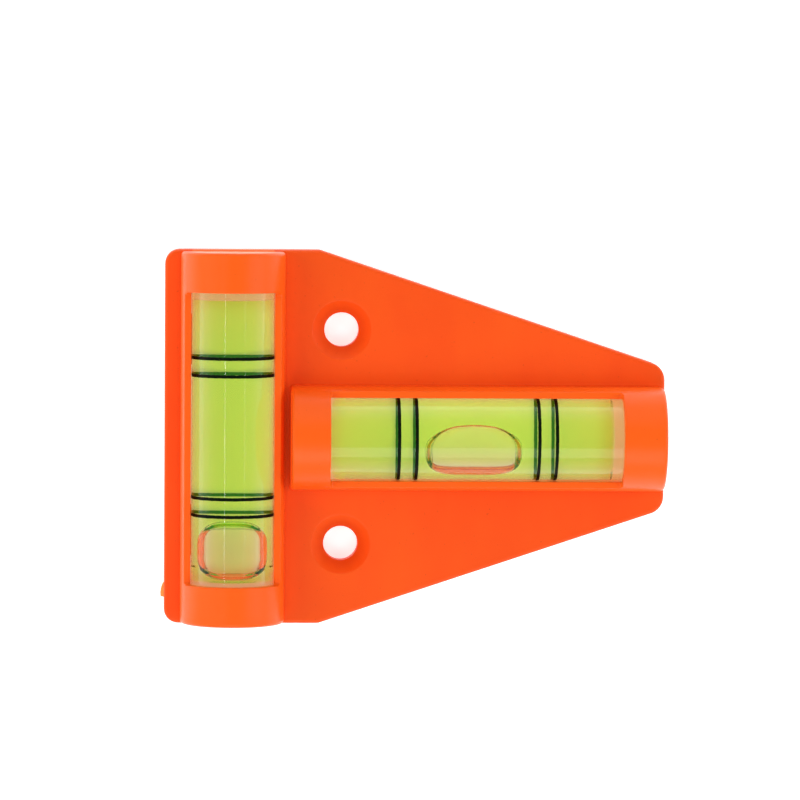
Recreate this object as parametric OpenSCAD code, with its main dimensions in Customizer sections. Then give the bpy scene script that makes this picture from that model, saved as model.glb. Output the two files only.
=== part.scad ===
// T-shaped bubble level: a moulded orange plate that carries two clear vials, one along the
// crossbar of the T and one along its stem, and is screwed down through two countersunk holes.
// X runs along the stem towards its tip, Y along the crossbar, Z out of the back plane.
// The origin is the middle of the plate's outline, on the back plane. Sizes are millimetres.

/* [Plate] */
// Length of the plate along the stem
plate_len = 70; // [69:0.5:84]
// Width of the plate along the crossbar
plate_w = 52.3; // [50.5:0.1:66]
// Depth of the plate from its back plane to its flat front
plate_t = 4.2; // [3.4:0.1:5]
// Width of the plate at the tip of the stem
tip_w = 20; // [17.5:0.5:28]
// Length of the part that keeps its full width
wide_len = 21.6; // [19:0.1:26]
// Radius of the two corners of the wide end
wide_corner_r = 2; // [0.8:0.1:5]
// Radius of the two corners of the tip
tip_corner_r = 2.5; // [0.8:0.1:4]
// Radius of the two blunt corners where the sides begin to slant
waist_corner_r = 1.5; // [0.8:0.1:5]
// Rounding of the plate's front edge
plate_edge_r = 0.45; // [0.1:0.05:0.7]
// Front wall over the hollows in the back
skin_t = 1.8; // [1.2:0.1:2.4]
// Rim round the hollows in the back
rim_t = 1.6; // [1:0.1:2.2]
// Thickness of the ribs in the back
rib_t = 1.1; // [0.8:0.1:1.6]
// Distance between the ribs across the stem
rib_pitch = 7.9; // [6:0.1:12]
// How far the ribs stop short of the back plane
rib_short = 0.4; // [0.1:0.1:1]

/* [Cases] */
// Wall of the arched case over each vial
case_wall = 1.45; // [1:0.05:1.7]
// From the wide edge of the plate to the crossbar's case
case_margin = 2.25; // [1:0.05:3]
// Gap between the crossbar's case and the stem's case
case_gap = 0.8; // [0.4:0.1:1.6]
// How far the ends of the cases stand back from the plate's edge
end_setback = 0.25; // [0.1:0.05:0.6]
// Rounding of the rims at the ends of the cases
case_edge_r = 0.5; // [0.1:0.05:0.8]
// Length of the window in each case
window_len = 40.7; // [30:0.1:42]
// How far the stem's window is moved from the middle of its case
stem_window_shift = -0.25; // [-0.8:0.05:0.8]
// Height of the flat rails beside each window over the vial's axis
rail_rise = 2.75; // [1.5:0.05:3.4]
// Length of the slope from a rail up to the cap of its case
ramp_len = 0.3; // [0.1:0.1:2]
// Height of that slope
ramp_rise = 0.6; // [0.2:0.1:2.5]

/* [Screw holes] */
// Diameter of the two screw holes
hole_d = 4.8; // [3:0.1:5.5]
// Diameter of the countersinks at the front
sink_d = 8.3; // [6:0.1:9]
// Distance between the two holes
hole_pitch = 30; // [28:0.5:32]
// From the wide edge of the plate to the holes
hole_inset = 24.7; // [24:0.1:32]
// Wall of the boss round each countersink
boss_wall = 1.2; // [0.8:0.1:2]

/* [Vials] */
// Outer radius of the clear barrel
vial_r = 5.75; // [5.4:0.05:6]
// Length of a vial over its plug
vial_len = 46.4; // [44:0.1:47.4]
// Height of the vials' lowest line over the back plane
vial_lift = 0.15; // [0.05:0.05:0.5]
// How far the crossbar's vial is moved towards its plug
cross_vial_shift = 0.3; // [-0.4:0.05:0.6]
// How far the stem's vial is moved towards its plug
stem_vial_shift = -0.15; // [-0.6:0.05:0.6]
// Radius of the bore at its middle
bore_r = 4.4; // [4:0.05:4.45]
// How much narrower the barrel-shaped bore is at its ends
bore_crown = 0.15; // [0.05:0.05:0.3]
// Thickness of the closed end
end_wall = 2.8; // [1.5:0.1:4]
// Rounding where the bore meets the closed end
end_fillet = 2; // [1.2:0.1:2.6]
// Rounding of the barrel's outer edge at its closed end
barrel_edge_r = 0.6; // [0.2:0.1:1]
// Radius of the plug's shank
plug_r = 4.65; // [4.6:0.05:4.9]
// Length of the plug's shank
plug_len = 3.05; // [2:0.05:5]
// Thickness of the plug's head
plug_head_t = 1.2; // [0.8:0.1:2]
// From the middle of a vial to its two inner lines
ring_near = 8.5; // [7:0.1:9.5]
// From the middle of a vial to its two outer lines
ring_far = 10.95; // [10.5:0.05:14]
// Width of a line
ring_w = 0.48; // [0.25:0.01:0.6]
// Depth of the paint in a line
ring_t = 0.1; // [0.06:0.01:0.2]

/* [Bubbles] */
// Length of the stem's bubble
stem_bubble_len = 13.4; // [10:0.1:16]
// How far the stem's bubble reaches down each side of its bore, in degrees
stem_bubble_spread = 57; // [45:1:70]
// How far the underside of the stem's bubble sags below its edges
stem_bubble_sag = 0.8; // [0.3:0.1:1.2]
// Place of the stem's bubble, from the middle of its vial towards the plug
stem_bubble_at = -0.5; // [-8:0.1:8]
// How far round its bore the stem's bubble has climbed, in degrees
stem_bubble_roll = 26; // [-30:1:30]
// Length of the crossbar's bubble
cross_bubble_len = 8; // [6:0.1:12]
// How far the crossbar's bubble reaches down each side of its bore, in degrees
cross_bubble_spread = 80; // [60:1:84]
// How far the underside of the crossbar's bubble sags below its edges
cross_bubble_sag = 0.8; // [0.3:0.1:1.2]

/* [Fits] */
// Clearance round a vial in its case
vial_play = 0.05; // [0.02:0.01:0.1]
// Clearance at each end of a vial in its case
vial_end_play = 0.1; // [0.05:0.01:0.2]
// Clearance round the plug, the liquid and the painted lines
part_play = 0.03; // [0.02:0.01:0.05]
// Clearance round a bubble
bubble_play = 0.1; // [0.06:0.01:0.15]
// Space left between a bubble and either end of its bore
bubble_stop = 0.5; // [0.45:0.05:1]
// How far the snap lips reach under a vial
lip_out = 0.4; // [0.2:0.05:0.6]
// Length of each snap lip
lip_len = 7; // [3:0.5:10]

/* [Hidden] */
$fn = 96;
// Facets of the plate's rounded corners
corner_fn = 32;
// Overrun of every cut past the face it opens
over = 1;

// Colours
orange = [0.96, 0.31, 0.11];
clear = [0.86, 0.9, 0.86, 0.3];
lime = [0.72, 0.83, 0.2, 0.6];
air = [0.94, 0.93, 0.66, 0.7];
black = [0.06, 0.08, 0.04];

// Vials
bore_end_r = bore_r - bore_crown;
bore_from = -vial_len / 2 + end_wall;
rim_at = vial_len / 2 - plug_head_t;
bore_to = rim_at - plug_len;
bore_mid = (bore_from + bore_to) / 2;
bore_half = (bore_to - bore_from) / 2;
crown_steps = 10;
fillet_steps = 6;
cross_bubble_at = bore_from + bubble_stop + cross_bubble_len / 2;

// Bubbles: the radius of their back, and the rounding of their ends, which clears the bore's end
bubble_r = bore_end_r - bubble_play;
bubble_end_r = end_fillet - bubble_stop;
// Points of their oval outline, and its fatness: 1 is an ellipse and 0 a rectangle
oval_steps = 48;
oval_power = 0.8;

// Cases
pocket_r = vial_r + vial_play;
case_r = pocket_r + case_wall;
axis_z = vial_r + vial_lift;
pocket_len = vial_len + 2 * vial_end_play;
cross_x = -plate_len / 2 + case_margin + case_r;
cross_case_len = plate_w - 2 * end_setback;
stem_from = cross_x + case_r + case_gap;
stem_to = plate_len / 2 - end_setback;
stem_case_len = stem_to - stem_from;
stem_x = (stem_from + stem_to) / 2;

// Plate
waist_x = -plate_len / 2 + wide_len;
slope = (plate_w - tip_w) / 2 / (plate_len / 2 - waist_x);
slant = sqrt(1 + slope * slope);
hole_x = -plate_len / 2 + hole_inset;
sink_t = (sink_d - hole_d) / 2;
boss_r = sink_d / 2 + boss_wall;

// Snap lips under the vials
lip_top = -sqrt(vial_r * vial_r - pow(pocket_r - lip_out, 2)) - vial_play;
lip_land_t = 0.4;
lip_lead_t = 0.8;
lip_at = window_len / 2 - lip_len;

// Stub of the moulding gate on the wide edge
gate_len = 2.1;
gate_w = 0.5;
gate_t = 1;
gate_z = (plate_t - gate_t) / 2;
// From the corner of the plate to the middle of the stub
gate_inset = 4.6;
// Outline of the stub: shares of its reach and of its length
gate_shares = [[0, 0.5], [-0.4, 0.36], [-0.82, 0.1], [-1, -0.22], [-0.96, -0.44], [-0.78, -0.5],
               [0, -0.5]];

// Corners of the plate's outline, moved in by d
function outline(d) =
    let (top = plate_w / 2 - d,
         waist = waist_x - d * (slant - 1) / slope,
         tip = plate_len / 2 - d,
         tip_top = plate_w / 2 - slope * (tip - waist_x) - d * slant)
    [[-plate_len / 2 + d, -top], [waist, -top], [tip, -tip_top],
     [tip, tip_top], [waist, top], [-plate_len / 2 + d, top]];

function corner_r(k) =
    k == 0 || k == 5 ? wide_corner_r : k == 1 || k == 4 ? waist_corner_r : tip_corner_r;

// Points of an arc round c
function arc(c, r, from, to, steps) =
    [for (k = [0:steps]) let (a = from + (to - from) * k / steps) c + r * [cos(a), sin(a)]];

// Radius of the bore at u along the vial
function bore_at(u) = bore_r - bore_crown * pow((u - bore_mid) / bore_half, 2);

// Half outline of the bore's space, d inside its wall and its two ends
function bore_outline(d) = concat(
    [[0, bore_from + d]],
    arc([bore_end_r - end_fillet, bore_from + end_fillet], end_fillet - d, -90, 0, fillet_steps),
    [for (k = [1:crown_steps])
        let (u = bore_from + end_fillet + (bore_to - bore_from - end_fillet) * k / crown_steps)
        [bore_at(u) - d, min(u, bore_to - d)]],
    [[0, bore_to - d]]);

// Radius of a bubble's underside, and the height of its centre over the vial's axis
function belly_r(spread, sag) =
    let (half_w = bubble_r * sin(spread)) (half_w * half_w + sag * sag) / 2 / sag;
function belly_z(spread, sag) = bubble_r * cos(spread) - sag + belly_r(spread, sag);

// Outline of a fat oval
function oval(x, y) = [for (k = [0:oval_steps - 1]) let (c = cos(360 * k / oval_steps),
                                                         s = sin(360 * k / oval_steps))
    [x / 2 * sign(c) * pow(abs(c), oval_power), y / 2 * sign(s) * pow(abs(s), oval_power)]];

// Turns a shape made along Z so that it lies along X
module along_x() rotate([0, 90, 0]) children();

// Places a shape made round the X axis in the stem's case or in the crossbar's case
module on_stem() translate([stem_x, 0, axis_z]) children();
module on_cross() translate([cross_x, 0, axis_z]) rotate([0, 0, 90]) children();
module on_stem_vial() on_stem() translate([stem_vial_shift, 0, 0]) children();
module on_cross_vial() on_cross() translate([cross_vial_shift, 0, 0]) children();

// Disc with a rounded front rim, for one corner of the plate
module puck(r) rotate_extrude($fn = corner_fn) {
    square([r, plate_t - plate_edge_r]);
    square([r - plate_edge_r, plate_t]);
    translate([r - plate_edge_r, plate_t - plate_edge_r]) circle(plate_edge_r, $fn = corner_fn);
}

module plate() hull() for (k = [0:5])
    translate(outline(corner_r(k))[k]) puck(corner_r(k));

// Rectangle with four round corners, centred
module round_rect(x, y, r) {
    square([x - 2 * r, y], center = true);
    square([x, y - 2 * r], center = true);
    for (i = [-1, 1], j = [-1, 1]) translate([i * (x / 2 - r), j * (y / 2 - r)]) circle(r);
}

// Arched case of length l round the X axis: half a rod with rounded rims over straight walls
module case_solid(l) {
    intersection() {
        along_x() rotate_extrude() intersection() {
            round_rect(2 * case_r, l, case_edge_r);
            translate([0, -l / 2]) square([case_r, l]);
        }
        translate([-l / 2, -case_r, 0]) cube([l, 2 * case_r, case_r]);
    }
    translate([0, 0, -axis_z]) linear_extrude(axis_z) round_rect(l, 2 * case_r, case_edge_r);
}

// Space for a vial, open at the back
module pocket() {
    along_x() cylinder(r = pocket_r, h = pocket_len, center = true);
    translate([-pocket_len / 2, -pocket_r, -axis_z - over])
        cube([pocket_len, 2 * pocket_r, axis_z + over]);
}

// Window over a vial: a straight opening, and the arch cut down to flat rails beside it
module window() {
    half = window_len / 2;
    high = case_r + over;
    translate([-half, -pocket_r, 0]) cube([window_len, 2 * pocket_r, high]);
    rotate([90, 0, 0]) linear_extrude(2 * (case_r + over), center = true)
        polygon([[ramp_len - half, rail_rise], [half - ramp_len, rail_rise],
                 [half, rail_rise + ramp_rise], [half, high],
                 [-half, high], [-half, rail_rise + ramp_rise]]);
}

// Four lips low on the walls of a pocket, which the vial snaps past
module lips() for (i = [-1, 1], j = [0, 1]) mirror([0, j, 0]) translate([i * lip_at, 0, 0])
    along_x() linear_extrude(lip_len, center = true)
        polygon([[-lip_top, pocket_r - lip_out], [-lip_top, pocket_r + case_wall / 2],
                 [-lip_top + lip_land_t + lip_lead_t, pocket_r + case_wall / 2],
                 [-lip_top + lip_land_t + lip_lead_t, pocket_r],
                 [-lip_top + lip_land_t, pocket_r - lip_out]]);

// Countersunk screw holes
module screw_holes() for (j = [-1, 1]) translate([hole_x, j * hole_pitch / 2, 0]) {
    translate([0, 0, -over]) cylinder(d = hole_d, h = plate_t + 2 * over);
    translate([0, 0, plate_t - sink_t]) cylinder(d1 = hole_d, d2 = sink_d, h = sink_t);
    translate([0, 0, plate_t]) cylinder(d = sink_d, h = over);
}

// Ribs across the two hollows in the back
module ribs() {
    for (x = [hole_x:rib_pitch:plate_len / 2 - rim_t]) translate([x, 0])
        square([rib_t, plate_w], center = true);
    for (j = [-1, 1]) translate([0, j * hole_pitch / 2]) square([plate_len, rib_t], center = true);
}

// The two hollows in the back, between the cases and the rim
module back_hollows() difference() {
    translate([0, 0, -over]) linear_extrude(plate_t - skin_t + over) difference() {
        polygon(outline(rim_t));
        translate([-plate_len, -plate_w]) square([plate_len + cross_x + case_r, 2 * plate_w]);
        translate([-plate_len, -case_r]) square([2 * plate_len, 2 * case_r]);
        for (j = [-1, 1]) translate([hole_x, j * hole_pitch / 2]) circle(boss_r);
    }
    translate([0, 0, rib_short]) linear_extrude(plate_t) ribs();
}

module gate_stub() translate([-plate_len / 2, gate_inset - plate_w / 2, gate_z]) linear_extrude(gate_t)
    polygon([for (s = gate_shares) [s[0] * gate_w, s[1] * gate_len]]);

module body() color(orange) {
    difference() {
        union() {
            plate();
            on_cross() case_solid(cross_case_len);
            on_stem() case_solid(stem_case_len);
            gate_stub();
        }
        on_cross() window();
        on_stem() translate([stem_window_shift, 0, 0]) window();
        on_cross_vial() pocket();
        on_stem_vial() pocket();
        back_hollows();
        screw_holes();
    }
    on_cross_vial() lips();
    on_stem_vial() lips();
}

// Clear tube, closed at one end, with a barrel-shaped bore, a seat for the plug and four grooves
module barrel() color(clear) along_x() rotate_extrude() difference() {
    polygon(concat([[0, -vial_len / 2]],
                   arc([vial_r - barrel_edge_r, -vial_len / 2 + barrel_edge_r],
                       barrel_edge_r, -90, 0, fillet_steps),
                   [[vial_r, rim_at], [0, rim_at]]));
    polygon(bore_outline(0));
    translate([0, bore_to]) square([plug_r + part_play, plug_len + over]);
    for (u = [-ring_far, -ring_near, ring_near, ring_far])
        translate([vial_r - ring_t - part_play, u - ring_w / 2]) square([over, ring_w]);
}

// Stopper: a shank against the seat in the bore and a head against the barrel's rim
module plug() color(clear) along_x() {
    translate([0, 0, bore_to]) cylinder(r = plug_r, h = plug_len);
    translate([0, 0, rim_at]) cylinder(r = vial_r, h = plug_head_t);
}

// Painted line in its groove
module ring(u) color(black) along_x() translate([0, 0, u - ring_w / 2 + part_play / 2])
    rotate_extrude() translate([vial_r - ring_t, 0]) square([ring_t, ring_w - part_play]);

// Air bubble: its back lies along the bore, its underside sags and its outline is a fat oval
module bubble(l, spread, sag) color(air) intersection() {
    along_x() rotate_extrude() intersection() {
        round_rect(2 * bubble_r, l, bubble_end_r);
        translate([0, -l / 2]) square([bubble_r, l]);
    }
    translate([0, 0, belly_z(spread, sag)]) along_x()
        cylinder(r = belly_r(spread, sag), h = l, center = true);
    translate([0, 0, -bubble_r]) linear_extrude(2 * bubble_r)
        polygon(oval(l + 2 * bubble_play, 2 * (bubble_r * sin(spread) + bubble_play)));
}

// Liquid that fills the bore, with the way of its bubble left open in it
module liquid(spread, sag, roll) color(lime) difference() {
    along_x() rotate_extrude() polygon(bore_outline(part_play));
    rotate([roll, 0, 0]) translate([0, 0, belly_z(spread, sag)]) along_x()
        cylinder(r = belly_r(spread, sag) + bubble_play, h = vial_len + 2 * over, center = true);
}

module stem_barrel() on_stem_vial() barrel();
module stem_plug() on_stem_vial() plug();
module stem_liquid() on_stem_vial() liquid(stem_bubble_spread, stem_bubble_sag, stem_bubble_roll);
module stem_bubble() on_stem_vial() rotate([stem_bubble_roll, 0, 0])
    translate([stem_bubble_at, 0, 0]) bubble(stem_bubble_len, stem_bubble_spread, stem_bubble_sag);
module stem_ring_1() on_stem_vial() ring(-ring_far);
module stem_ring_2() on_stem_vial() ring(-ring_near);
module stem_ring_3() on_stem_vial() ring(ring_near);
module stem_ring_4() on_stem_vial() ring(ring_far);

module cross_barrel() on_cross_vial() barrel();
module cross_plug() on_cross_vial() plug();
module cross_liquid() on_cross_vial() liquid(cross_bubble_spread, cross_bubble_sag, 0);
module cross_bubble() on_cross_vial() translate([cross_bubble_at, 0, 0])
    bubble(cross_bubble_len, cross_bubble_spread, cross_bubble_sag);
module cross_ring_1() on_cross_vial() ring(-ring_far);
module cross_ring_2() on_cross_vial() ring(-ring_near);
module cross_ring_3() on_cross_vial() ring(ring_near);
module cross_ring_4() on_cross_vial() ring(ring_far);

body();
stem_barrel();
stem_plug();
stem_liquid();
stem_bubble();
stem_ring_1();
stem_ring_2();
stem_ring_3();
stem_ring_4();
cross_barrel();
cross_plug();
cross_liquid();
cross_bubble();
cross_ring_1();
cross_ring_2();
cross_ring_3();
cross_ring_4();
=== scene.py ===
"""T-shaped bubble level: an orange moulding with two clear vials, each with a liquid, an air
bubble and four painted lines. The level lies on its back on a white sheet, seen from above."""
import math

import bmesh
import bpy
from bpy.props import FloatProperty, FloatVectorProperty, IntProperty, PointerProperty
from mathutils import Matrix, Vector


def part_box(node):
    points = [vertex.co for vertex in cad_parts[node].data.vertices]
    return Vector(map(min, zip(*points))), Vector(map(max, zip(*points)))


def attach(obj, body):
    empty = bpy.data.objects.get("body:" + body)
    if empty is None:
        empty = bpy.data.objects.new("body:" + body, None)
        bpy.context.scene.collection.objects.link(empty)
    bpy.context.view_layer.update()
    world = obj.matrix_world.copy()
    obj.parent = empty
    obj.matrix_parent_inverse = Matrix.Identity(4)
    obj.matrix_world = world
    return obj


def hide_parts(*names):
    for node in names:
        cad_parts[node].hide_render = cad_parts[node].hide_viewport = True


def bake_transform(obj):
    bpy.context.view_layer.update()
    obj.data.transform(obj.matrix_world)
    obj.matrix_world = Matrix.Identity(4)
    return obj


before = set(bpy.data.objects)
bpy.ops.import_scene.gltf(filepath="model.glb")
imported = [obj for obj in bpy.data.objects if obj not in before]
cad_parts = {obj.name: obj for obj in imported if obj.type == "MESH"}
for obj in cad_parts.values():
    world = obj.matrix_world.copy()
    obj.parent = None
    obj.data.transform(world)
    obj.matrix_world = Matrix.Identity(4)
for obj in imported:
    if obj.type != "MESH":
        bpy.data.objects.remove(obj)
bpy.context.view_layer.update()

bl_info = {
    "name": "Bubble level",
    "version": (1, 0, 0),
    "blender": (4, 5, 0),
    "location": "View3D > Sidebar > Level",
    "description": "Models and finishes a T-shaped bubble level on its frame",
    "category": "Object",
}

MM = 0.001
HAIR = 0.01 * MM  # too small to see: keeps faces apart, or tells which lie together
UP = Vector((0, 0, 1))
LAMP_DISTANCE = 0.6  # metres from the level
BOUNCES = 32  # enough for light to find its way through a vial


def length(name, description, default):
    """A size in millimetres, kept in metres."""
    return FloatProperty(
        name=name, description=description, default=default * MM, min=0, precision=5,
        subtype="DISTANCE", unit="LENGTH",
    )


def colour(name, description, default):
    return FloatVectorProperty(
        name=name, description=description, default=default, min=0, max=1, size=3,
        subtype="COLOR",
    )


def number(name, description, default):
    return FloatProperty(name=name, description=description, default=default, min=0)


def watts(name, description, default):
    return FloatProperty(name=name, description=description, default=default, min=0, unit="POWER")


def angle(name, description, degrees):
    return FloatProperty(
        name=name, description=description, default=math.radians(degrees), subtype="ANGLE"
    )


class LevelShape(bpy.types.PropertyGroup):
    """Sizes of the fine forms."""

    edge_radius: length("Edge radius", "Rounding of the moulding's small edges", 0.11)
    shortest_edge: length("Shortest edge", "Edges shorter than this stay sharp", 0.12)
    sharp_angle: angle("Sharp angle", "Edges that turn by more than this are rounded", 38)
    edge_steps: IntProperty(name="Edge steps", description="Facets across such an edge", default=3)
    facets: IntProperty(name="Facets", description="Facets round a vial", default=160)
    rim_chamfer: length("Rim chamfer", "Chamfer where barrel and plug meet", 0.12)
    shank_radius: length("Shank radius", "Radius of the plug's shank", 4.65)
    bore_fillet: length("Bore fillet", "Rounding where the bore meets the closed end", 2.0)
    end_rounding: length("End rounding", "Rounding of the barrel's closed end", 0.6)
    bore_crown: length("Bore crown", "How much narrower the bore is at its ends", 0.15)
    glue_depth: length("Glue depth", "How far the glued joint stays under a vial's surface", 0.2)
    film: length("Film", "Gap that keeps the liquid's skin off the bore's wall", 0.02)
    liquid_cover: length("Liquid's cover", "How far the liquid stands over a bubble's top", 0.09)
    plug_fillet: length("Plug fillet", "Rounding of the liquid where it meets the plug", 0.3)
    still_end: length("Still end", "What the liquid keeps unstretched at each end", 0.2)
    paint_depth: length("Paint depth", "Depth of the paint of a line", 0.1)
    groove_play: length("Groove play", "How far the paint stands into its groove's wall", 0.02)
    paint_wander: length("Paint wander", "How far the edges of a painted line wander", 0.07)
    bubble_grain: length("Bubble grain", "Size of the facets of a bubble", 0.12)
    bubble_smooth: IntProperty(
        name="Bubble smoothing", description="Rounds of smoothing of a bubble's rim", default=200
    )
    bubble_swell: length("Bubble swell", "What a bubble gains after its smoothing", 0.11)
    bubble_lean: angle("Bubble lean", "How far the ends of the stem's bubble lean down its side", 18)


class LevelFinish(bpy.types.PropertyGroup):
    """Colours of the finishes and of the painted light and shade, and the heights and places where they
    meet.
    """

    plastic: colour("Plastic", "Colour of the moulding", (0.87, 0.088, 0.0045))
    # Painted light: the cases take a lighter colour than the plate, for the extra light that the raised
    # cases catch.
    plastic_case_lit: colour("Plastic, cases", "Colour of the polished cases", (0.90, 0.108, 0.0060))
    plastic_deep: colour("Plastic, deep", "Colour of its darker flow marks", (0.84, 0.073, 0.0038))
    # Painted shade: a darker colour for the sinks and other low walls, where shade falls.
    plastic_low_shade: colour("Plastic, low", "Colour of the sinks and other low walls", (0.77, 0.066, 0.0036))
    gate: colour("Gate", "Colour of the torn stub of the moulding's gate", (0.92, 0.34, 0.07))
    gate_length: length("Gate length", "How far the stub stands out of the plate", 0.47)
    speck: colour("Specks", "Colour of the plastic's dark specks", (0.30, 0.03, 0.008))
    relief: length("Relief", "Depth of the plastic's grain and scratches", 0.012)
    # Painted light: a faint glow all over the moulding, for light that seeps through the plastic.
    plastic_glow: colour("Plastic's glow", "Light that seeps through it", (0.05, 0.006, 0.0003))
    # Painted light: a stronger glow on the pocket walls round each vial, for the light that the vials
    # throw on them.
    pocket_glow: colour("Pocket's glow", "Light that the vials throw on its walls", (0.22, 0.085, 0.03))
    plate_top: length("Plate's top", "Height of the plate, below the polished cases", 4.3)
    case_fade: length("Case's fade", "Height over which the cases take their own finish", 0.5)
    # Heights where the painted shade of the low walls ends, and over which it fades.
    low_walls: length("Low walls", "Height up to which walls are low ones", 2.7)
    low_fade: length("Low walls' fade", "Height over which their colour fades", 1.4)
    pocket_side: length("Pocket's side", "How far round a vial its pocket's walls lie", 0.25)
    pocket_end: length("Pocket's end", "How far before a vial its pocket's end wall lies", 0.2)
    acrylic: colour("Acrylic", "Tint of the clear vials", (0.985, 0.972, 0.915))
    liquid: colour("Liquid", "Colour that the liquid lets through", (0.857, 0.967, 0.444))
    liquid_strength: number("Liquid strength", "How strongly the liquid colours light, per metre", 290)
    # Painted light: the dye's fluorescence is real, but here it is a steady glow that no lamp drives.
    dye: colour("Dye", "Colour of the liquid's fluorescent dye", (0.18, 1.0, 0.07))
    dye_glow: number("Dye glow", "Light that the dye gives off, per metre", 14)
    paint: colour("Paint", "Colour of a line's outside", (0.001, 0.004, 0.001))
    # Painted light: the underside's green stands in for the liquid's glow seen over the black paint.
    paint_back_glow: colour("Paint back", "Colour of a line's underside", (0.008, 0.060, 0.008))
    acrylic_bend: number("Acrylic bend", "Refractive index of the acrylic", 1.49)
    liquid_bend: number("Liquid bend", "Refractive index of the liquid", 1.36)


class LevelStage(bpy.types.PropertyGroup):
    """The sheet, the lights and the camera."""

    sheet: colour("Sheet", "Colour of the sheet that the level lies on", (0.90, 0.90, 0.90))
    sheet_dark: colour("Sheet, dark", "Colour of its faint mottling", (0.80, 0.80, 0.80))
    sheet_size: length("Sheet size", "Length of the sheet's sides", 3000)
    glow: number("Glow", "Light that the sheet gives off", 0.6)
    # Painted light: the card's tan colour stands in for the orange light thrown by the pocket walls.
    card: colour("Card", "Colour of the card under each vial", (0.90, 0.78, 0.48))
    card_dark: colour("Card, dark", "Colour of its mottling", (0.7, 0.5, 0.2))
    card_end: colour("Card's ends", "Light of a card under the vial's ends", (0.18, 0.165, 0.14))
    card_middle: colour("Card's middle", "Light of a card between them", (0.235, 0.31, 0.265))
    card_fade: length("Card's fade", "Length over which the one turns into the other", 3.0)
    sky: number("Sky", "Light from above", 0.25)
    horizon: number("Horizon", "Light from the sides", 1.1)
    sky_from: number("Sky from", "Sine of the height from which the sky has its full light", 0.6)
    left_power: watts("Left power", "Softbox at the crossbar's end", 1.5)
    right_power: watts("Right power", "Softbox at the stem's end", 1.25)
    near_power: watts("Near power", "Softbox at the lower side", 1.2)
    far_power: watts("Far power", "Softbox at the upper side", 0.55)
    streak_power: watts("Streak power", "The bright thin strip light", 0.24)
    faint_streak_power: watts("Faint streak power", "The faint thin strip light", 0.08)
    band_power: watts("Band power", "The wide strip light", 1.1)
    glint_power: watts("Glint power", "The small light that glints in the bubbles", 0.12)
    distance: length("Distance", "From the level to the camera", 659)
    aside: length("Aside", "Camera's shift to the left", 1.9)
    below: length("Below", "Camera's shift upwards", 5.0)
    lens: FloatProperty(name="Lens", description="Focal length", default=210.6, unit="CAMERA")
    tilt: angle("Tilt", "Camera's turn about the stem's axis", 3.59)
    turn: angle("Turn", "Camera's turn about the crossbar's axis", 2.50)
    roll: angle("Roll", "Camera's turn about its own axis", -0.41)


class Signal:
    """The output of a material's node. Python's operators on it add Math nodes."""

    def __init__(self, finish, socket):
        self.finish = finish
        self.socket = socket

    def math(self, operation, *terms):
        return self.finish.node("Math", {"operation": operation}, dict(enumerate((self, *terms))))

    def __add__(self, other):
        return self.math("ADD", other)

    def __sub__(self, other):
        return self.math("SUBTRACT", other)

    def __rsub__(self, other):
        return self.finish.node("Math", {"operation": "SUBTRACT"}, {0: other, 1: self})

    def __mul__(self, other):
        return self.math("MULTIPLY", other)

    def __gt__(self, other):
        return self.math("GREATER_THAN", other)

    __radd__ = __add__
    __rmul__ = __mul__


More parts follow.
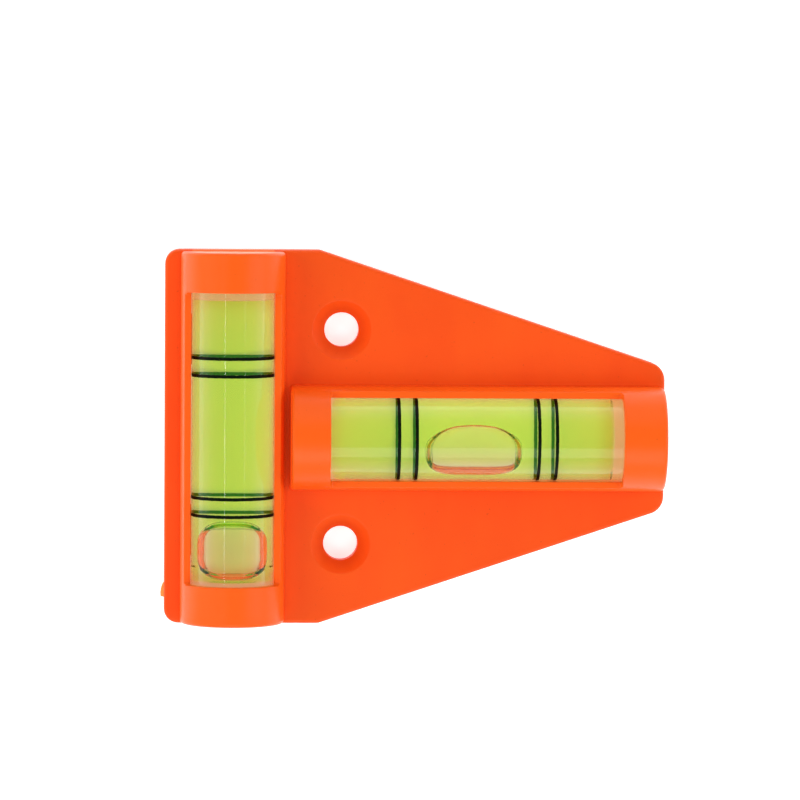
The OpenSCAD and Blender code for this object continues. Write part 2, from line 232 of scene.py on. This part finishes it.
class Finish:
    """A material in the making."""

    def __init__(self, name):
        self.material = bpy.data.materials.new(name)
        self.material.use_nodes = True
        self.tree = self.material.node_tree
        self.tree.nodes.clear()

    def node(self, kind, settings=None, inputs=None, output=0):
        """Adds a node: its settings first, then values or links for its sockets."""
        made = self.tree.nodes.new("ShaderNode" + kind)
        for name, value in (settings or {}).items():
            if name == "stops":
                self.set_stops(made.color_ramp, value)
            else:
                setattr(made, name, value)
        for name, value in (inputs or {}).items():
            self.feed(made.inputs[name], value)
        return Signal(self, made.outputs[output])

    def set_stops(self, ramp, stops):
        while len(ramp.elements) < len(stops):
            ramp.elements.new(0.5)
        for element, (place, value) in zip(ramp.elements, stops):
            element.position = place
            element.color = (*value, 1) if hasattr(value, "__len__") else (value, value, value, 1)

    def feed(self, socket, value):
        if isinstance(value, Signal):
            self.tree.links.new(value.socket, socket)
        elif hasattr(value, "__len__") and len(socket.default_value) == 4:
            socket.default_value = (*value, 1)
        else:
            socket.default_value = value

    def point(self):
        """The point on the piece, in metres."""
        return self.node("TexCoord", output="Object")

    def part_of_point(self, axis):
        """One coordinate of the point on the piece."""
        return self.node("SeparateXYZ", None, {0: self.point()}, output=axis)

    def noise(self, size, detail=2, rough=0.5, scale=(1, 1, 1), turn=(0, 0, 0)):
        """Soft noise with lumps of a size in metres, stretched and turned."""
        where = self.node("Mapping", None, {"Vector": self.point(), "Scale": scale, "Rotation": turn})
        return self.node(
            "TexNoise", None,
            {"Vector": where, "Scale": 1 / size, "Detail": detail, "Roughness": rough},
        )

    def radius(self, vial):
        """The distance from a vial's axis."""
        across = tuple(0 if axis == vial.axis else 1 for axis in range(3))
        centre = self.node("VectorMath", {"operation": "SUBTRACT"}, {0: self.point(), 1: vial.middle})
        flat = self.node("VectorMath", {"operation": "MULTIPLY"}, {0: centre, 1: across})
        return self.node("VectorMath", {"operation": "LENGTH"}, {0: flat}, output="Value")

    def step(self, signal, low, high):
        """0 below one value, 1 above another, and soft between them."""
        return self.node("MapRange", {"interpolation_type": "SMOOTHSTEP"}, {
            "Value": signal, "From Min": low, "From Max": high,
        })

    def ramp(self, signal, *stops):
        return self.node("ValToRGB", {"stops": stops}, {"Fac": signal})

    def mix(self, factor, first, second):
        """A colour between two colours."""
        return self.node(
            "Mix", {"data_type": "RGBA"}, {0: factor, 6: first, 7: second}, output=2
        )

    def bump(self, height, depth):
        """A normal from a height of 0 to 1 that stands for a depth in metres."""
        return self.node("Bump", None, {"Height": height, "Distance": depth})

    def done(self, surface, volume=None):
        output = self.tree.nodes.new("ShaderNodeOutputMaterial")
        self.feed(output.inputs["Surface"], surface)
        if volume is not None:
            self.feed(output.inputs["Volume"], volume)
        return self.material

    def let_light_in(self, glass, tint):
        """Lets lamps and light from matt surfaces pass straight through a clear surface."""
        clear = self.node("BsdfTransparent", None, {"Color": tint})
        for rays in ("Is Shadow Ray", "Is Diffuse Ray"):
            path = self.node("LightPath", output=rays)
            glass = self.node("MixShader", None, {0: path, 1: glass, 2: clear})
        return glass


def moulded_plastic(look, vials):
    """Satin injection-moulded plastic: soft flow marks, a fine grain and a few faint scratches, with
    painted shade on its low walls, painted light on its cases and a painted glow, strongest on its
    pocket walls.
    """
    finish = Finish("moulded_plastic")
    height = finish.part_of_point("Z")
    flow = finish.noise(size=9 * MM, detail=3, scale=(1, 0.45, 1))
    cloud = finish.noise(size=2.2 * MM)
    base = finish.mix(finish.ramp(flow, (0.35, 0.0), (0.68, 1.0)), look.plastic, look.plastic_deep)
    # Painted shade: below low_walls the plastic takes a darker colour, for the shade that falls in the
    # sinks and on other low walls.
    upper = finish.step(height, look.low_walls, look.low_walls + look.low_fade)
    base = finish.mix(upper, look.plastic_low_shade, base)
    # Painted light: above the plate's top the cases take a lighter colour, for the light that they
    # catch; their lower roughness is their polish.
    case = finish.step(height, look.plate_top, look.plate_top + look.case_fade)
    base = finish.mix(case, base, look.plastic_case_lit)
    stub_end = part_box("body")[0].x + look.gate_length
    stub = 1 - (finish.part_of_point("X") > stub_end)
    base = finish.mix(stub, base, look.gate)
    speck = finish.noise(size=0.34 * MM, detail=1) > 0.765
    base = finish.mix(speck * 0.3, base, look.speck)
    grain = finish.noise(size=0.11 * MM, rough=0.6)
    scratch = finish.ramp(
        finish.noise(size=0.10 * MM, detail=1, scale=(0.02, 1, 1), turn=(0, 0, 0.6)),
        (0.70, 0.0), (0.74, 1.0),
    )
    # Mask of the pocket walls round each vial, where the stronger glow is painted.
    pocket = 0
    for vial in vials:
        near = 1 - (finish.radius(vial) > vial.radius + look.pocket_side)
        inside = finish.part_of_point(vial.axis) > vial.start - look.pocket_end
        pocket = near * inside + pocket
    relief = grain * 0.6 + cloud * 0.5 - scratch * 0.5
    shader = finish.node("BsdfPrincipled", None, {
        "Base Color": base,
        "Roughness": 0.38 + grain * 0.10 + scratch * 0.10 - case * 0.12,
        "Specular IOR Level": 0.22,
        # Painted light: the moulding glows faintly all over, and more on its pocket walls.
        "Emission Color": finish.mix(pocket, look.plastic_glow, look.pocket_glow),
        "Emission Strength": 1.0,
        "Normal": finish.bump(relief, look.relief),
    })
    return finish.done(shader)


def clear_acrylic(look, name, bend):
    """Clear acrylic. bend is the index of the acrylic over that of what it meets."""
    finish = Finish(name)
    streak = finish.noise(size=0.8 * MM, scale=(0.2, 0.2, 1))
    glass = finish.node("BsdfPrincipled", None, {
        "Base Color": look.acrylic,
        "Roughness": finish.ramp(streak, (0.45, 0.0), (0.75, 0.03)),
        "IOR": bend,
        "Transmission Weight": 1.0,
        "Normal": finish.bump(streak, depth=0.004 * MM),
    })
    return finish.done(finish.let_light_in(glass, look.acrylic))


def coloured_liquid(look):
    """Yellow-green liquid with a painted glow. Its skin bends nothing, because the bore's wall does
    that.
    """
    finish = Finish("coloured_liquid")
    skin = finish.node("BsdfPrincipled", None, {
        "Base Color": (1, 1, 1), "Roughness": 0.0, "IOR": 1.0, "Transmission Weight": 1.0,
    })
    depth = finish.node(
        "VolumeAbsorption", None, {"Color": look.liquid, "Density": look.liquid_strength}
    )
    # Painted light: the liquid glows evenly in the dye's colour, a steady stand-in for its fluorescence
    # under the lamps.
    glow = finish.node("Emission", None, {"Color": look.dye, "Strength": look.dye_glow})
    both = finish.node("AddShader", None, {0: depth, 1: glow})
    return finish.done(finish.let_light_in(skin, (1, 1, 1)), both)


def trapped_air(look):
    """The skin between the liquid and the air of a bubble."""
    finish = Finish("trapped_air")
    glass = finish.node("BsdfGlass", None, {
        "Color": (1, 1, 1), "Roughness": 0.0, "IOR": 1 / look.liquid_bend,
    })
    return finish.done(finish.let_light_in(glass, (1, 1, 1)))


def line_paint(look, vial):
    """Black paint whose underside is painted green, for the liquid's glow seen over it through the vial.
    """
    finish = Finish(vial.name + "_line_paint")
    outside = finish.radius(vial) > vial.radius - vial.shape.paint_depth / 2
    # Worn patches, where some of the painted green glow shows on the outside.
    worn = finish.ramp(finish.noise(size=0.22 * MM), (0.62, 0.0), (0.72, 1.0))
    paint = finish.mix(worn * 0.35, look.paint, look.paint_back_glow)
    shader = finish.node("BsdfPrincipled", None, {
        "Base Color": finish.mix(outside, look.paint_back_glow, paint),
        "Roughness": 0.42 + worn * 0.2,
        "Specular IOR Level": 0.1,
        "Normal": finish.bump(worn, depth=0.01 * MM),
    })
    return finish.done(shader)


def white_sheet(stage):
    """Smooth white sheet under the level."""
    finish = Finish("white_sheet")
    mottle = finish.noise(size=30 * MM, detail=3)
    base = finish.mix(mottle * 0.04, stage.sheet, stage.sheet_dark)
    shader = finish.node("BsdfPrincipled", None, {
        "Base Color": base, "Roughness": 0.8, "Specular IOR Level": 0.2,
        "Emission Color": (1, 1, 1), "Emission Strength": stage.glow,
    })
    return finish.done(shader)


def lit_card(stage, vial):
    """Matt card under a vial, with painted light: its tan colour for the orange light thrown by the
    pocket walls, its glow for the light that the liquid gathers, which falls on all but its ends.
    """
    finish = Finish(vial.name + "_lit_card")
    mottle = finish.noise(size=8 * MM)
    base = finish.mix(mottle * 0.06, stage.card, stage.card_dark)
    away = (finish.part_of_point(vial.axis) - vial.inside).math("ABSOLUTE")
    last = vial.inside_half + 0.5 * MM
    end = finish.step(away, last - stage.card_fade, last)
    shader = finish.node("BsdfPrincipled", None, {
        "Base Color": base, "Roughness": 0.9, "Specular IOR Level": 0.1,
        # Painted light: the card glows more in its middle than under the vial's ends, which the caps
        # shade.
        "Emission Color": finish.mix(end, stage.card_middle, stage.card_end), "Emission Strength": 1.0,
    })
    return finish.done(shader)


class Vial:
    """Where a vial lies: its axis and the places along it, read from the frame, in metres."""

    def __init__(self, name, axis, shape):
        low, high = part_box(name + "_barrel")
        self.name = name
        self.axis = axis
        self.shape = shape
        self.start, self.rim = low[axis], high[axis]
        self.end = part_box(name + "_plug")[1][axis]
        self.radius = (high.z - low.z) / 2
        self.glued = self.radius - shape.glue_depth
        self.direction = Vector([1.0 if k == axis else 0.0 for k in range(3)])
        self.side = UP.cross(self.direction)
        self.middle = (low + high) / 2
        liquid_low, liquid_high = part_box(name + "_liquid")
        across = 1 - axis
        self.bore_from = liquid_low[axis]
        self.bore_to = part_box(name + "_plug")[0][axis]
        self.bore_radius = (liquid_high[across] - liquid_low[across]) / 2
        self.inside = (self.bore_from + self.bore_to) / 2
        self.inside_half = (self.bore_to - self.bore_from) / 2 - HAIR
        self.lines = [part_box(f"{name}_ring_{k}") for k in (1, 2, 3, 4)]
        bubble_low, bubble_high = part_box(name + "_bubble")
        self.bubble_at = (bubble_low + bubble_high)[axis] / 2
        self.bubble_long = (bubble_high - bubble_low)[axis]
        self.reach = bubble_high.z - self.middle.z

    def at(self, along, radius, turn=0.0):
        """The point at a place along the vial and a radius, turned about the axis from the top."""
        point = self.middle + (UP * math.cos(turn) + self.side * math.sin(turn)) * radius
        point[self.axis] = along
        return point

    def where(self, point):
        """How far along the vial a point lies, its radius and its turn: at(), the other way."""
        away = point - self.middle
        side = away.dot(self.side)
        return point[self.axis], math.hypot(side, away.z), math.atan2(side, away.z)

    def bore_at(self, along):
        """Radius of the barrel-shaped bore."""
        part = (along - self.inside) / ((self.bore_to - self.bore_from) / 2)
        return self.bore_radius - self.shape.bore_crown * part * part


def arc(along, radius, size, first, last, steps=6):
    """Outline points of a rounding about a centre, from one angle to another."""
    angles = [first + (last - first) * k / steps for k in range(steps + 1)]
    return [(along + size * math.cos(a), radius + size * math.sin(a)) for a in angles]


def lathe(name, vial, outline):
    """Spins an outline of (place along, radius) points round a vial's axis."""
    points = [vial.at(*p) for p in outline]
    bpy.ops.object.select_all(action="DESELECT")
    bpy.ops.mesh.primitive_plane_add(size=MM, location=points[0])
    piece = bpy.context.object
    piece.name = piece.data.name = name
    bpy.ops.object.mode_set(mode="EDIT")
    bpy.ops.mesh.select_mode(type="VERT")
    bpy.ops.mesh.merge(type="CENTER")
    for here, there in zip(points, points[1:]):
        bpy.ops.mesh.extrude_region_move(TRANSFORM_OT_translate={"value": there - here})
    bpy.ops.mesh.select_all(action="SELECT")
    bpy.ops.mesh.spin(
        steps=vial.shape.facets, angle=math.tau, center=vial.middle, axis=vial.direction
    )
    bpy.ops.mesh.select_all(action="SELECT")
    bpy.ops.mesh.remove_doubles(threshold=HAIR / 20)
    bpy.ops.mesh.normals_make_consistent(inside=False)
    bpy.ops.object.mode_set(mode="OBJECT")
    settle(piece)
    add_modifier(piece, "WEIGHTED_NORMAL", keep_sharp=True)
    return piece


def settle(piece, smooth=30):
    """Applies a piece's place and smooths all but its sharp edges."""
    only(piece)
    bpy.ops.object.transform_apply(location=True, rotation=True, scale=True)
    bpy.ops.object.shade_smooth_by_angle(angle=math.radians(smooth))


def only(*pieces):
    """Selects these pieces and nothing else."""
    bpy.ops.object.select_all(action="DESELECT")
    for piece in pieces:
        piece.select_set(True)
    bpy.context.view_layer.objects.active = pieces[0]


def copy_of(source, name):
    """A piece of its own with a copy of another's mesh."""
    piece = source.copy()
    piece.data = source.data.copy()
    piece.name = piece.data.name = name
    piece.parent = None
    for key in list(piece.keys()):
        del piece[key]
    bpy.context.scene.collection.objects.link(piece)
    return piece


def add_modifier(piece, kind, **settings):
    """Adds a modifier to a piece and applies it."""
    modifier = piece.modifiers.new(kind.title(), kind)
    for name, value in settings.items():
        setattr(modifier, name, value)
    only(piece)
    bpy.ops.object.modifier_apply(modifier=modifier.name)


def dress(piece, *materials):
    piece.data.materials.clear()
    for material in materials:
        piece.data.materials.append(material)


def hand_over(piece, body, slot, *nodes):
    """Puts a finished piece on its body, in place of the nodes that it stands for."""
    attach(piece, body)
    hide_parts(*nodes)


def both_vials(context):
    shape = context.scene.level_shape
    return Vial("stem", 0, shape), Vial("cross", 1, shape)


class LEVEL_OT_moulding(bpy.types.Operator):
    """Rounds the small edges of the moulding and gives it its plastic"""

    bl_idname = "level.moulding"
    bl_label = "Moulding"

    def execute(self, context):
        shape = context.scene.level_shape
        piece = copy_of(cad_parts["body"], "moulding")
        only(piece)
        bpy.ops.object.mode_set(mode="EDIT")
        bpy.ops.mesh.select_all(action="SELECT")
        bpy.ops.mesh.customdata_custom_splitnormals_clear()
        bpy.ops.mesh.remove_doubles(threshold=2 * HAIR)
        bpy.ops.mesh.tris_convert_to_quads(
            face_threshold=math.radians(0.5), shape_threshold=math.radians(180)
        )
        bpy.ops.mesh.select_mode(type="EDGE")
        bpy.ops.mesh.select_all(action="DESELECT")
        self.select_sharp(piece, shape)
        bpy.ops.mesh.bevel(
            offset=shape.edge_radius, segments=shape.edge_steps, clamp_overlap=False
        )
        bpy.ops.object.mode_set(mode="OBJECT")
        settle(piece, smooth=36)
        add_modifier(piece, "WEIGHTED_NORMAL", keep_sharp=True)
        dress(piece, moulded_plastic(context.scene.level_finish, both_vials(context)))
        hand_over(piece, "level", "body", "body")
        return {"FINISHED"}

    def select_sharp(self, piece, shape):
        """Selects the sharp edges, but for those that meet one too short to be rounded."""
        mesh = bmesh.from_edit_mesh(piece.data)
        sharp = [edge for edge in mesh.edges if edge.calc_face_angle(0) > shape.sharp_angle]
        short = [edge for edge in sharp if edge.calc_length() < shape.shortest_edge]
        tight = {end for edge in short for end in edge.verts}
        for edge in sharp:
            edge.select = tight.isdisjoint(edge.verts)
        mesh.select_flush_mode()
        bmesh.update_edit_mesh(piece.data)


class LEVEL_OT_barrels(bpy.types.Operator):
    """Turns the two clear barrels, each closed at one end, with a bore and four grooves"""

    bl_idname = "level.barrels"
    bl_label = "Barrels"

    def execute(self, context):
        look = context.scene.level_finish
        clear = clear_acrylic(look, "clear_acrylic", look.acrylic_bend)
        wet = clear_acrylic(look, "wetted_acrylic", look.acrylic_bend / look.liquid_bend)
        glued = clear_acrylic(look, "glued_acrylic", 1.0)
        for vial in both_vials(context):
            piece = lathe(vial.name + "_tube", vial, self.outline(vial))
            dress(piece, clear, wet, glued)
            self.sort_faces(piece, vial)
            hand_over(piece, "level", "clear_plastic", vial.name + "_barrel")
        return {"FINISHED"}

    def outline(self, vial):
        shape, radius = vial.shape, vial.radius
        edge, fillet, chamfer = shape.end_rounding, shape.bore_fillet, shape.rim_chamfer
        points = [(vial.start, 0)]
        points += arc(vial.start + edge, radius - edge, edge, math.pi, math.pi / 2)
        depth = shape.paint_depth + shape.groove_play
        for low, high in vial.lines:
            first, last = low[vial.axis], high[vial.axis]
            points += [(first, radius), (first, radius - depth), (last, radius - depth), (last, radius)]
        seat = shape.shank_radius + 3 * HAIR
        points += [(vial.rim - chamfer, radius), (vial.rim, radius - chamfer), (vial.rim, seat)]
        points += [(vial.bore_to, seat)]
        reach, steps = vial.bore_to - vial.bore_from - fillet, 24
        for k in range(steps):
            along = vial.bore_to - reach * k / steps
            points.append((along, vial.bore_at(along)))
        last = vial.bore_at(vial.bore_from + fillet)
        points += arc(vial.bore_from + fillet, last - fillet, fillet, math.pi / 2, math.pi, 8)
        return points + [(vial.bore_from, 0)]

    def sort_faces(self, piece, vial):
        """Gives the faces that the liquid wets, and those glued to the plug, their own finish."""
        for face in piece.data.polygons:
            along, radius, _ = vial.where(face.center)
            in_bore = abs(along - vial.inside) < vial.inside_half
            if in_bore and radius < vial.bore_radius + 5 * HAIR:
                face.material_index = 2 if along < vial.bore_from + vial.shape.bore_fillet else 1
            elif along > vial.bore_to - HAIR and radius < vial.glued:
                face.material_index = 2


class LEVEL_OT_plugs(bpy.types.Operator):
    """Turns the two clear plugs"""

    bl_idname = "level.plugs"
    bl_label = "Plugs"

    def execute(self, context):
        look = context.scene.level_finish
        clear = clear_acrylic(look, "plug_acrylic", look.acrylic_bend)
        wet = clear_acrylic(look, "wetted_plug", look.acrylic_bend / look.liquid_bend)
        glued = clear_acrylic(look, "glued_plug", 1.0)
        for vial in both_vials(context):
            shape, radius, chamfer = vial.shape, vial.radius, vial.shape.rim_chamfer
            face, rim, shank = vial.bore_to + HAIR, vial.rim + HAIR, shape.shank_radius
            piece = lathe(vial.name + "_stopper", vial, [
                (face, 0), (face, shank - 2 * chamfer), (face + 2 * chamfer, shank),
                (rim, shank), (rim, radius - chamfer),
                (vial.rim + chamfer, radius), (vial.end - chamfer, radius),
                (vial.end, radius - chamfer), (vial.end, 0),
            ])
            dress(piece, clear, wet, glued)
            for polygon in piece.data.polygons:
                along, radius, _ = vial.where(polygon.center)
                if along < face + HAIR / 10:
                    polygon.material_index = 1
                elif along < rim + HAIR and radius < vial.glued:
                    polygon.material_index = 2
            hand_over(piece, "level", "clear_plastic", vial.name + "_plug")
        return {"FINISHED"}


def air_bubble(vial, name):
    """A bubble with the frame's form and the rounded rims that surface tension gives it."""
    shape = vial.shape
    piece = copy_of(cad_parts[vial.name + "_bubble"], name)
    add_modifier(piece, "WELD", merge_threshold=HAIR / 5)
    add_modifier(piece, "REMESH", mode="VOXEL", voxel_size=shape.bubble_grain)
    add_modifier(piece, "SMOOTH", factor=0.5, iterations=shape.bubble_smooth)
    add_modifier(piece, "DISPLACE", strength=shape.bubble_swell, mid_level=0)
    if vial.name == "stem":
        lean(piece, vial, shape.bubble_lean)
    settle(piece, smooth=180)
    return piece


def lean(piece, vial, most):
    """Turns the higher side of a rolled bubble down round its vial, most of all at its ends."""
    places = [vial.where(vertex.co) for vertex in piece.data.vertices]
    lowest, highest = min(turn for *_, turn in places), max(turn for *_, turn in places)
    for vertex, (along, radius, turn) in zip(piece.data.vertices, places):
        out = (along - vial.bubble_at) / (vial.bubble_long / 2)
        high = (turn - lowest) / (highest - lowest)
        vertex.co = vial.at(along, radius, turn - most * out * out * high)


class LEVEL_OT_bubbles(bpy.types.Operator):
    """Shapes the two air bubbles"""

    bl_idname = "level.bubbles"
    bl_label = "Bubbles"

    def execute(self, context):
        air = trapped_air(context.scene.level_finish)
        for vial in both_vials(context):
            piece = air_bubble(vial, vial.name + "_air_bubble")
            dress(piece, air)
            hand_over(piece, vial.name + "_air", "air", vial.name + "_bubble")
        return {"FINISHED"}


class LEVEL_OT_liquids(bpy.types.Operator):
    """Fills each bore with liquid in two halves, which meet at the bubble's middle"""

    bl_idname = "level.liquids"
    bl_label = "Liquids"

    def execute(self, context):
        liquid = coloured_liquid(context.scene.level_finish)
        shape = context.scene.level_shape
        for vial in both_vials(context):
            bubble = copy_of(bpy.data.objects[vial.name + "_air_bubble"], "hollow")
            add_modifier(bubble, "DISPLACE", strength=shape.film, mid_level=0)
            for end, ahead in ((vial.bore_from, 1), (vial.bore_to, -1)):
                self.half(vial, liquid, bubble, end + ahead * shape.film, ahead)
            bpy.data.objects.remove(bubble)
        return {"FINISHED"}

    def half(self, vial, liquid, bubble, end, ahead):
        """The liquid from one end of the bore to the bubble's middle."""
        shape = vial.shape
        radius = vial.reach + shape.liquid_cover
        edge = shape.bore_fillet - 5 * HAIR if ahead > 0 else shape.plug_fillet
        middle = vial.bubble_at - ahead * HAIR / 2
        near = vial.bubble_at - ahead * (vial.bubble_long / 2 + 3 * HAIR)
        turn = math.pi if ahead > 0 else 0
        outline = [(end, 0)] + arc(end + ahead * edge, radius - edge, edge, turn, math.pi / 2)
        if ahead * (end + ahead * edge - near) > 0:
            rest = [place for place in outline if ahead * (place[0] - near) > 10 * HAIR]
            outline = [(end, 0), (end, radius), (near, radius), (near, rest[0][1])] + rest
        ring = near - ahead * shape.still_end
        if ahead * (ring - outline[-1][0]) > 0:
            outline.append((ring, radius))
        outline.append((middle, radius))
        piece = lathe(vial.name + ("_liquid_start" if ahead > 0 else "_liquid_end"), vial, outline)
        self.close(piece)
        add_modifier(piece, "BOOLEAN", operation="DIFFERENCE", object=bubble, solver="EXACT")
        bpy.ops.mesh.customdata_custom_splitnormals_clear()
        bpy.ops.object.shade_flat()
        dress(piece, liquid)
        first = tuple(vial.at(end + ahead * min(edge, shape.still_end), 0))
        tuple(vial.at(near, 0))
        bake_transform(piece)
        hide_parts(vial.name + "_liquid")

    def close(self, piece):
        """Closes the open end of a turned piece with one flat face."""
        only(piece)
        bpy.ops.object.mode_set(mode="EDIT")
        bpy.ops.mesh.select_all(action="DESELECT")
        bpy.ops.mesh.select_mode(type="EDGE")
        bpy.ops.mesh.select_non_manifold(extend=False)
        bpy.ops.mesh.edge_face_add()
        bpy.ops.mesh.select_all(action="SELECT")
        bpy.ops.mesh.normals_make_consistent(inside=False)
        bpy.ops.object.mode_set(mode="OBJECT")


class LEVEL_OT_lines(bpy.types.Operator):
    """Paints the four lines of each vial into their grooves, with the brush's uneven edges"""

    bl_idname = "level.lines"
    bl_label = "Painted lines"

    def execute(self, context):
        look, shape = context.scene.level_finish, context.scene.level_shape
        for vial in both_vials(context):
            paint = line_paint(look, vial)
            inner = vial.radius - shape.paint_depth - 2 * shape.groove_play
            for k, (low, high) in enumerate(vial.lines, 1):
                first, last = low[vial.axis], high[vial.axis]
                middle = (first + last) / 2
                piece = lathe(f"{vial.name}_line_{k}", vial, [
                    (first, inner), (first, vial.radius), (middle, vial.radius + HAIR),
                    (last, vial.radius), (last, inner), (middle, inner), (first, inner),
                ])
                bpy.ops.object.mode_set(mode="EDIT")
                bpy.ops.mesh.select_all(action="SELECT")
                bpy.ops.transform.vertex_random(offset=shape.paint_wander / 2, seed=k)
                bpy.ops.object.mode_set(mode="OBJECT")
                dress(piece, paint)
                hand_over(piece, "level", "line_paint", f"{vial.name}_ring_{k}")
        return {"FINISHED"}


class LEVEL_OT_stage(bpy.types.Operator):
    """Lays the white sheet, hangs the lights and sets up the camera"""

    bl_idname = "level.stage"
    bl_label = "Stage"

    def execute(self, context):
        stage = context.scene.level_stage
        bpy.ops.object.select_all(action="DESELECT")
        bpy.ops.mesh.primitive_plane_add(size=stage.sheet_size, location=(0, 0, -HAIR))
        floor = context.object
        floor.name = "sheet"
        dress(floor, white_sheet(stage))
        for vial in both_vials(context):
            self.card(vial, lit_card(stage, vial))
        self.lights(context, stage)
        self.camera(context, stage)
        return {"FINISHED"}

    def lights(self, context, stage):
        world = bpy.data.worlds.new("even_light")
        world.use_nodes = True
        nodes, links = world.node_tree.nodes, world.node_tree.links
        height = nodes.new("ShaderNodeSeparateXYZ")
        ramp = nodes.new("ShaderNodeMapRange")
        ramp.inputs["From Max"].default_value = stage.sky_from
        ramp.inputs["To Min"].default_value = stage.horizon
        ramp.inputs["To Max"].default_value = stage.sky
        links.new(nodes.new("ShaderNodeTexCoord").outputs["Object"], height.inputs[0])
        links.new(height.outputs["Z"], ramp.inputs["Value"])
        links.new(ramp.outputs[0], nodes["Background"].inputs["Strength"])
        nodes["Background"].inputs["Color"].default_value = (1, 1, 1, 1)
        context.scene.world = world
        left, right, near, far = 180, 0, -90, 90
        self.softbox("left", left, 38, stage.left_power)
        self.softbox("right", right, 38, stage.right_power)
        self.softbox("near", near, 52, stage.near_power)
        self.softbox("far", far, 38, stage.far_power)
        self.streak("left_streak", left, 66, stage.streak_power)
        self.streak("right_streak", right, 59, stage.faint_streak_power)
        self.streak("near_streak", near, 54, stage.band_power, width=0.30)
        self.glint("glint", right, 48, stage.glint_power)

    def card(self, vial, finish):
        """A matt card under a vial, seen through it, that carries painted light."""
        bpy.ops.object.select_all(action="DESELECT")
        bpy.ops.mesh.primitive_plane_add(size=1, location=vial.at((vial.start + vial.end) / 2, 0))
        card = bpy.context.object
        card.name = vial.name + "_card"
        card.location.z = -HAIR / 2
        width = 2.05 * vial.radius
        card.scale = (width, width, 1)
        card.scale[vial.axis] = vial.end - vial.start
        settle(card)
        dress(card, finish)

    def softbox(self, name, azimuth, elevation, power):
        """A square softbox that lights what is matt."""
        lamp = self.lamp(name, azimuth, elevation, (0.35, 0.35), power)
        lamp.visible_glossy = False
        lamp.visible_transmission = False

    def streak(self, name, azimuth, elevation, power, width=0.01):
        """A strip light that shows only as a streak on what is glossy."""
        lamp = self.lamp(name, azimuth, elevation, (0.8, width), power)
        lamp.visible_diffuse = False
        lamp.visible_transmission = False

    def glint(self, name, azimuth, elevation, power):
        """A small light that shows only in the vials, on the skin of a bubble."""
        lamp = self.lamp(name, azimuth, elevation, (0.12, 0.03), power)
        lamp.visible_diffuse = False
        lamp.visible_glossy = False

    def lamp(self, name, azimuth, elevation, size, power):
        """An area light in a direction from the level, turned towards it."""
        around, rise = math.radians(azimuth), math.radians(elevation)
        flat = Vector((math.cos(around), math.sin(around), 0))
        place = (flat * math.cos(rise) + UP * math.sin(rise)) * LAMP_DISTANCE
        bpy.ops.object.light_add(type="AREA", location=place)
        lamp = bpy.context.object
        lamp.name = name
        lamp.data.shape = "RECTANGLE"
        lamp.data.size, lamp.data.size_y = size
        lamp.data.energy = power
        lamp.rotation_euler = (-place).to_track_quat("-Z", "Y").to_euler()
        return lamp

    def camera(self, context, stage):
        bpy.ops.object.camera_add()
        camera = context.object
        camera.name = "camera"
        camera.data.lens = stage.lens
        camera.data.clip_start, camera.data.clip_end = 0.01, 10
        camera.matrix_world = (
            Matrix.Rotation(-stage.turn, 4, "Y")
            @ Matrix.Rotation(-stage.tilt, 4, "X")
            @ Matrix.Rotation(-stage.roll, 4, "Z")
            @ Matrix.Translation((-stage.aside, stage.below, stage.distance))
        )
        context.scene.camera = camera
        context.scene.view_settings.view_transform = "Standard"
        context.scene.cycles.max_bounces = BOUNCES
        context.scene.cycles.transmission_bounces = BOUNCES
        context.scene.cycles.transparent_max_bounces = BOUNCES


STEPS = (
    LEVEL_OT_moulding, LEVEL_OT_barrels, LEVEL_OT_plugs, LEVEL_OT_bubbles, LEVEL_OT_liquids,
    LEVEL_OT_lines, LEVEL_OT_stage,
)


class LEVEL_PT_sidebar(bpy.types.Panel):
    """Lists the level's sizes, finishes and stage, and the steps that make its pieces"""

    bl_idname = "LEVEL_PT_sidebar"
    bl_label = "Bubble level"
    bl_space_type = "VIEW_3D"
    bl_region_type = "UI"
    bl_category = "Level"

    def draw(self, context):
        scene = context.scene
        for group in (scene.level_shape, scene.level_finish, scene.level_stage):
            box = self.layout.box()
            for name in type(group).__annotations__:
                box.prop(group, name)
        for step in STEPS:
            self.layout.operator(step.bl_idname)


CLASSES = (LevelShape, LevelFinish, LevelStage, *STEPS, LEVEL_PT_sidebar)


def register():
    for cls in CLASSES:
        bpy.utils.register_class(cls)
    bpy.types.Scene.level_shape = PointerProperty(type=LevelShape)
    bpy.types.Scene.level_finish = PointerProperty(type=LevelFinish)
    bpy.types.Scene.level_stage = PointerProperty(type=LevelStage)


def unregister():
    del bpy.types.Scene.level_stage, bpy.types.Scene.level_finish, bpy.types.Scene.level_shape
    for cls in reversed(CLASSES):
        bpy.utils.unregister_class(cls)


def main():
    register()
    bpy.ops.level.moulding()
    bpy.ops.level.barrels()
    bpy.ops.level.plugs()
    bpy.ops.level.bubbles()
    bpy.ops.level.liquids()
    bpy.ops.level.lines()
    bpy.ops.level.stage()


if __name__ == "__main__":
    main()
